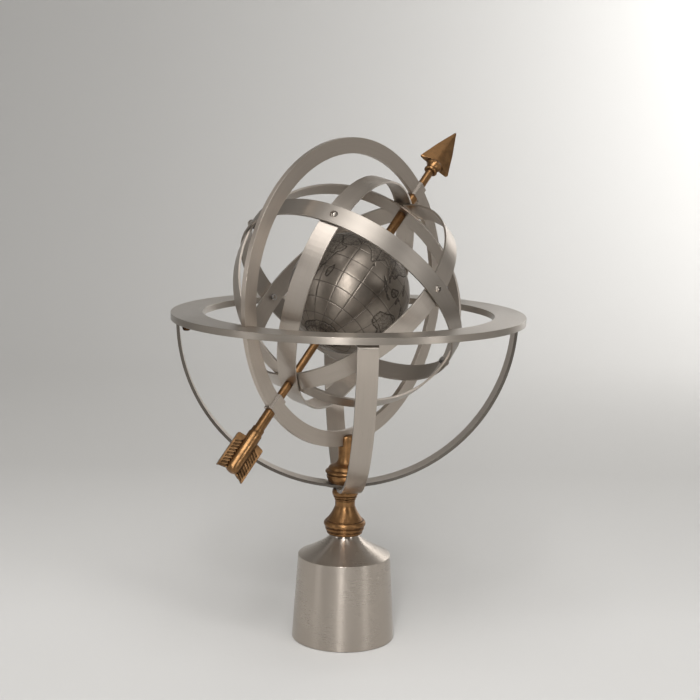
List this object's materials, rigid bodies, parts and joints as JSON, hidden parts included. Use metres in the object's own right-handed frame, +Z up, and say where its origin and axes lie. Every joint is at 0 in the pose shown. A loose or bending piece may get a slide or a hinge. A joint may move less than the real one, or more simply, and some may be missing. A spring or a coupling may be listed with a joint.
{
  "type": "armillary sphere",
  "caption": "Table armillary sphere on a weighted tapered base: an arrow-shaped polar rod carries a band cage and a globe inside a tilting meridian ring and a flat horizon ring.",
  "frame": {"origin": "centre of the felt pad's underside, on the table", "axes": "+Z up along the post; +X is the side the arrow rises towards, in the plane of the meridian ring; +Y to the left of someone looking along +X"},
  "size_m": [0.2952, 0.2916, 0.425],
  "materials": {
    "nickel_base": "brushed warm nickel, grain running round",
    "nickel_strip": "brushed warm nickel, grain running along",
    "nickel_ring": "brushed warm nickel, grain running round",
    "nickel_band": "brushed warm nickel, grain running along",
    "nickel_globe": "satin nickel with engraved map lines",
    "antique_brass": "antique brass with dark patina",
    "dark_brass": "dark antique brass",
    "steel": "plain turned steel",
    "iron": "rough cast iron, painted dark",
    "felt": "dark green felt"
  },
  "bodies": {
    "stand": {"base_shell": "nickel_base", "base_weight": "iron", "base_pad": "felt", "base_stud": "steel", "base_washer": "steel", "base_nut": "steel", "lower_baluster": "antique_brass", "lower_cradle_strip": "nickel_strip", "upper_cradle_strip": "nickel_strip", "fork_post": "antique_brass", "latitude_screw": "steel", "horizon_ring": "nickel_ring", "ring_studs": "steel", "cap_nuts": "dark_brass"},
    "meridian": {"meridian_ring": "nickel_ring"},
    "arrow": {"polar_rod": "steel", "arrowhead": "antique_brass", "fletching": "antique_brass", "north_sleeve": "antique_brass", "north_inner_sleeve": "antique_brass", "south_inner_sleeve": "antique_brass", "south_sleeve": "antique_brass", "tail_sleeve": "antique_brass"},
    "cage": {"equator_band": "nickel_band", "colure_band_outer": "nickel_band", "colure_band_middle": "nickel_band", "colure_band_inner": "nickel_band", "cage_screws": "nickel_band", "cage_nuts": "steel"},
    "globe": {"globe_north_half": "nickel_globe", "globe_south_half": "nickel_globe", "globe_tube": "antique_brass"}
  },
  "joints": [
    {"name": "latitude_tilt", "type": "hinge", "parent": "stand", "child": "meridian", "pos_m": [0, 0, 0.2931], "axis": [0, 1, 0], "range_deg": [-27, 27]},
    {"name": "arrow_spin", "type": "hinge", "parent": "meridian", "child": "arrow", "pos_m": [0, 0, 0.2931], "axis": [0.7431, 0, 0.6691], "continuous": true},
    {"name": "cage_spin", "type": "hinge", "parent": "arrow", "child": "cage", "pos_m": [0, 0, 0.2931], "axis": [0.7431, 0, 0.6691], "continuous": true},
    {"name": "globe_spin", "type": "hinge", "parent": "arrow", "child": "globe", "pos_m": [0, 0, 0.2931], "axis": [0.7431, 0, 0.6691], "continuous": true}
  ]
}
